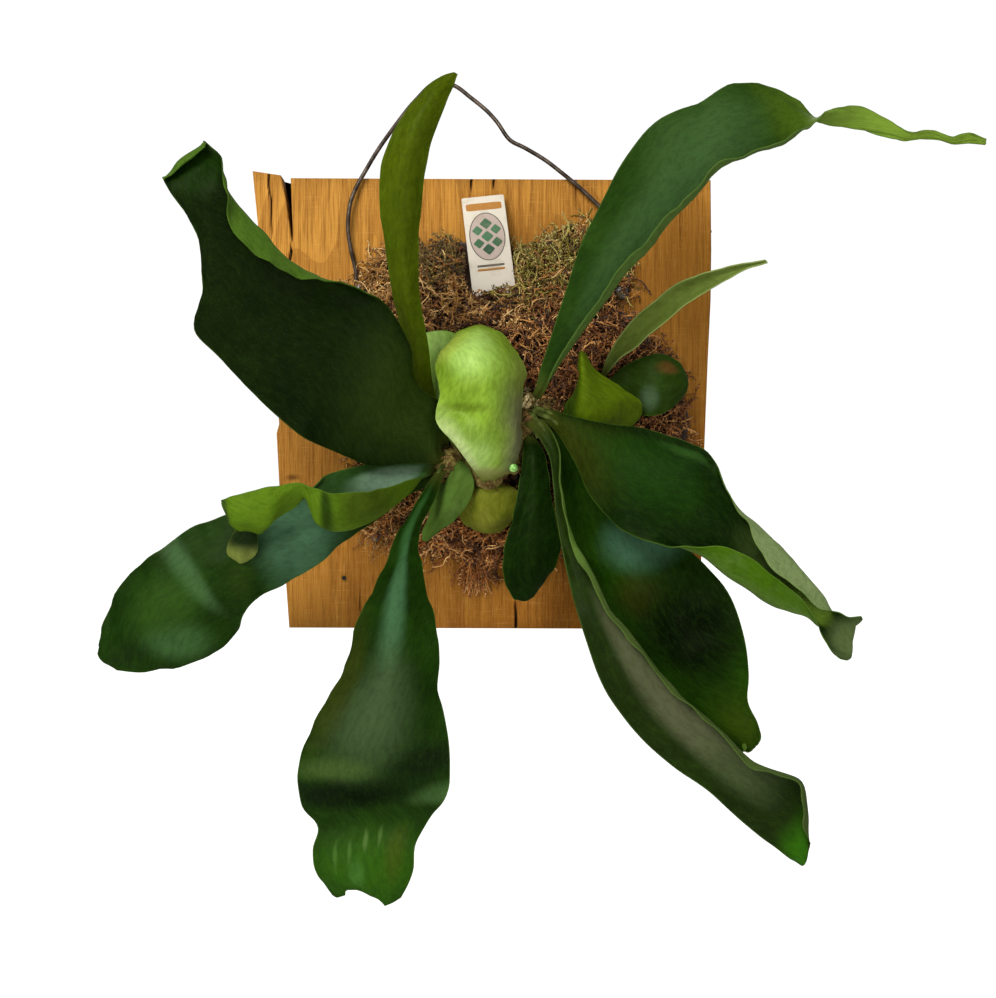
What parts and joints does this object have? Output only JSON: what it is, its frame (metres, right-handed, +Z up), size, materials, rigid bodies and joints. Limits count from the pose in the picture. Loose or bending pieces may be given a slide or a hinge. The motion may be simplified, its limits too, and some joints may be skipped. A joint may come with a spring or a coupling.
{
  "type": "mounted staghorn fern",
  "caption": "Staghorn fern growing from a moss cushion on a rough cedar board that hangs on a wall by a bent steel wire.",
  "frame": {"origin": "middle of the board's flat back face, in the wall plane", "axes": "+Y points into the wall, +Z is up, +X is to the right for someone facing the fern; the fronds grow out towards -Y"},
  "size_m": [0.5738, 0.1914, 0.541],
  "materials": {
    "cedar": "matte",
    "moss": "matte",
    "rhizome": "matte",
    "frond_dark": "satin",
    "frond_mid": "satin",
    "frond_light": "satin",
    "shield_green": "satin",
    "shield_olive": "matte",
    "shield_grey": "matte",
    "wire": "matte",
    "screw": "satin",
    "nail": "matte",
    "tag": "satin"
  },
  "bodies": {
    "root": {"board": "cedar", "moss": "moss", "rhizome": "rhizome", "frond_upper_left": "frond_dark", "frond_top_strap": "frond_light", "frond_upper_right": "frond_dark", "frond_right_strap": "frond_mid", "frond_right_round": "frond_dark", "frond_right": "frond_dark", "frond_lower_right_wide": "frond_dark", "frond_lower_right_long": "frond_mid", "frond_lower_middle": "frond_dark", "frond_bottom": "frond_dark", "frond_left_curled": "frond_mid", "frond_left_low": "frond_dark", "frond_small_left": "frond_mid", "shield_main": "shield_green", "shield_old": "shield_olive", "shield_back": "shield_grey", "shield_pup": "frond_light", "hanger_wire": "wire", "wire_screw_left": "screw", "wire_screw_right": "screw", "old_screw": "screw", "old_nail": "nail", "edge_nail": "nail", "plant_tag": "tag"}
  },
  "joints": []
}
